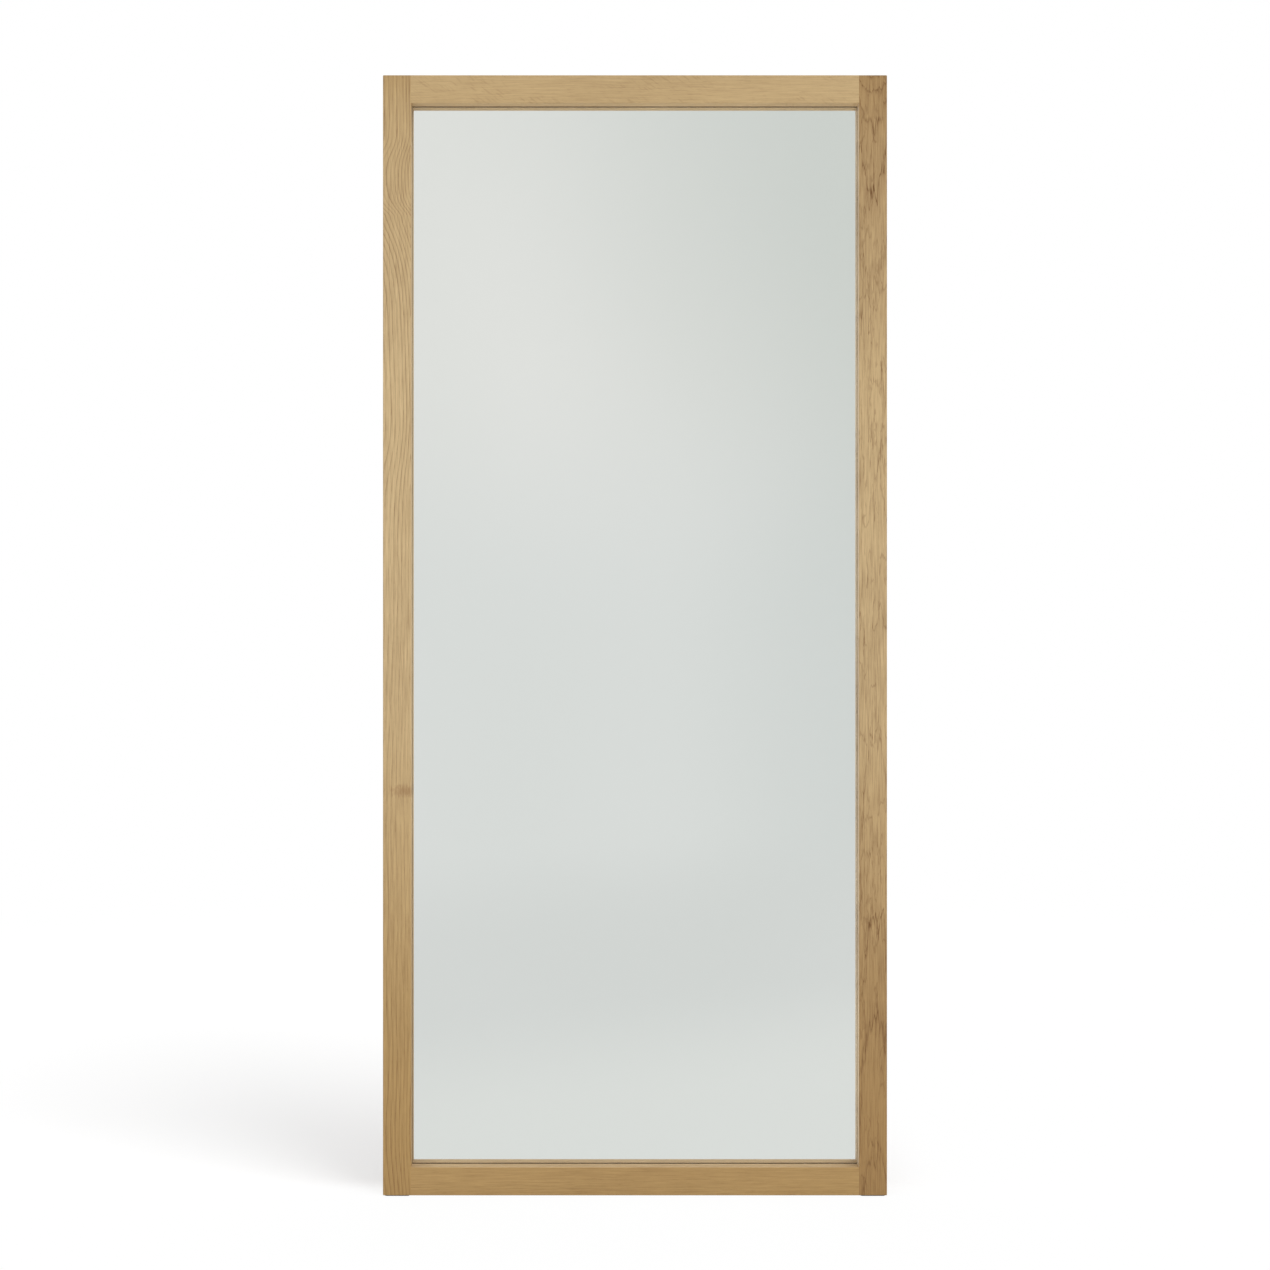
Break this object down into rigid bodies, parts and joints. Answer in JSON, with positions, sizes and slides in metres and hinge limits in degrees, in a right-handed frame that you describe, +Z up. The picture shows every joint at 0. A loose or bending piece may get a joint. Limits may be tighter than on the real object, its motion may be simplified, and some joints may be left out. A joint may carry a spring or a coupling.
{
  "type": "floor mirror",
  "caption": "Full-length mirror in a deep rectangular oak frame with butt-jointed corners, glass set well back, a closed back, swinging hanging rings and rubber feet.",
  "frame": {"origin": "on the floor, under the middle of the whole object's box", "axes": "+X to the right seen from the front, +Y from the glass to the back, +Z up"},
  "size_m": [0.9, 0.0526, 2.0015],
  "materials": {
    "oak": "matte",
    "beech": "matte",
    "hardboard": "satin",
    "silvered_glass": "polished",
    "safety_film": "satin",
    "foam": "matte",
    "zinc_plated_steel": "satin",
    "rubber": "matte",
    "clear_rubber": "satin"
  },
  "bodies": {
    "frame": {"left_stile": "oak", "right_stile": "oak", "bottom_rail": "oak", "top_rail": "oak", "bottom_left_dowels": "beech", "bottom_right_dowels": "beech", "top_left_dowels": "beech", "top_right_dowels": "beech", "left_glazing_tape": "foam", "right_glazing_tape": "foam", "bottom_glazing_tape": "foam", "top_glazing_tape": "foam", "mirror_pane": "silvered_glass", "safety_film": "safety_film", "backing_foam": "foam", "setting_blocks": "rubber", "top_spacers": "rubber", "side_spacers": "rubber", "back_panel": "hardboard", "panel_screws": "zinc_plated_steel", "left_hanger_plate": "zinc_plated_steel", "left_hanger_screws": "zinc_plated_steel", "right_hanger_plate": "zinc_plated_steel", "right_hanger_screws": "zinc_plated_steel", "wall_bumpers": "clear_rubber", "left_foot_pad": "rubber", "right_foot_pad": "rubber"},
    "left_ring": {"left_hanger_ring": "zinc_plated_steel"},
    "right_ring": {"right_hanger_ring": "zinc_plated_steel"}
  },
  "joints": [
    {"name": "left_ring_swing", "type": "hinge", "parent": "frame", "child": "left_ring", "pos_m": [-0.437, 0.0225, 1.7015], "axis": [1, 0, 0], "range_deg": [0, 180]},
    {"name": "right_ring_swing", "type": "hinge", "parent": "frame", "child": "right_ring", "pos_m": [0.437, 0.0225, 1.7015], "axis": [1, 0, 0], "range_deg": [0, 180]}
  ]
}
